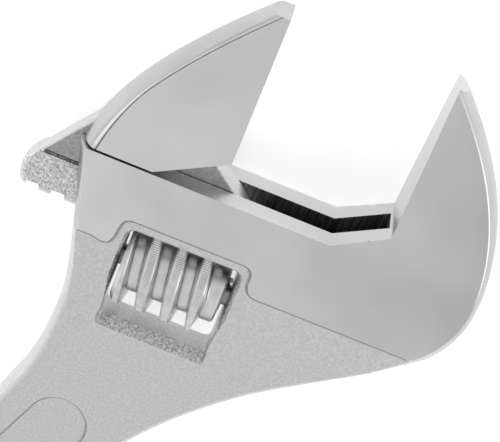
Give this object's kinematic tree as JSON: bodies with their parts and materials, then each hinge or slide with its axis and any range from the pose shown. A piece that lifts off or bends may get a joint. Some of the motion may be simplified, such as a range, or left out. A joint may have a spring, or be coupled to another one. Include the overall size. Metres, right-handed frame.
{
  "type": "adjustable wrench",
  "caption": "Adjustable wrench with a fixed jaw on a tapered handle, a sliding jaw with a rack, and a thumb-turned worm that opens it to 38 mm.",
  "frame": {"origin": "middle of the bounding box's underside, with the wrench lying flat and its mouth fully open", "axes": "+X the way the sliding jaw closes, +Y the way the jaws point, +Z through the thickness; the handle runs back towards -Y, leaning 22.5 degrees towards -X"},
  "size_m": [0.156, 0.2812, 0.022],
  "materials": {
    "forged_steel": "fine blasted forging with ground cheeks, satin plated",
    "knurl_steel": "machined, knurled crest, satin plated",
    "pin_steel": "turned",
    "spring_steel": "drawn wire"
  },
  "bodies": {
    "handle": {"body": "forged_steel", "knurl_pin": "pin_steel", "knurl_spring": "spring_steel"},
    "jaw": {"movable_jaw": "forged_steel"},
    "worm": {"knurl": "knurl_steel"}
  },
  "joints": [
    {"name": "jaw_slide", "type": "slide", "parent": "handle", "child": "jaw", "axis": [1, 0, 0], "range_m": [0, 0.0377]},
    {"name": "knurl_spin", "type": "hinge", "parent": "handle", "child": "worm", "pos_m": [0.01234, 0.0716, 0.011], "axis": [1, 0, 0], "range_deg": [-2215, 0]}
  ],
  "couplings": [
    {"joint": "knurl_spin", "follows": "jaw_slide", "rad_per_m": -1025}
  ]
}
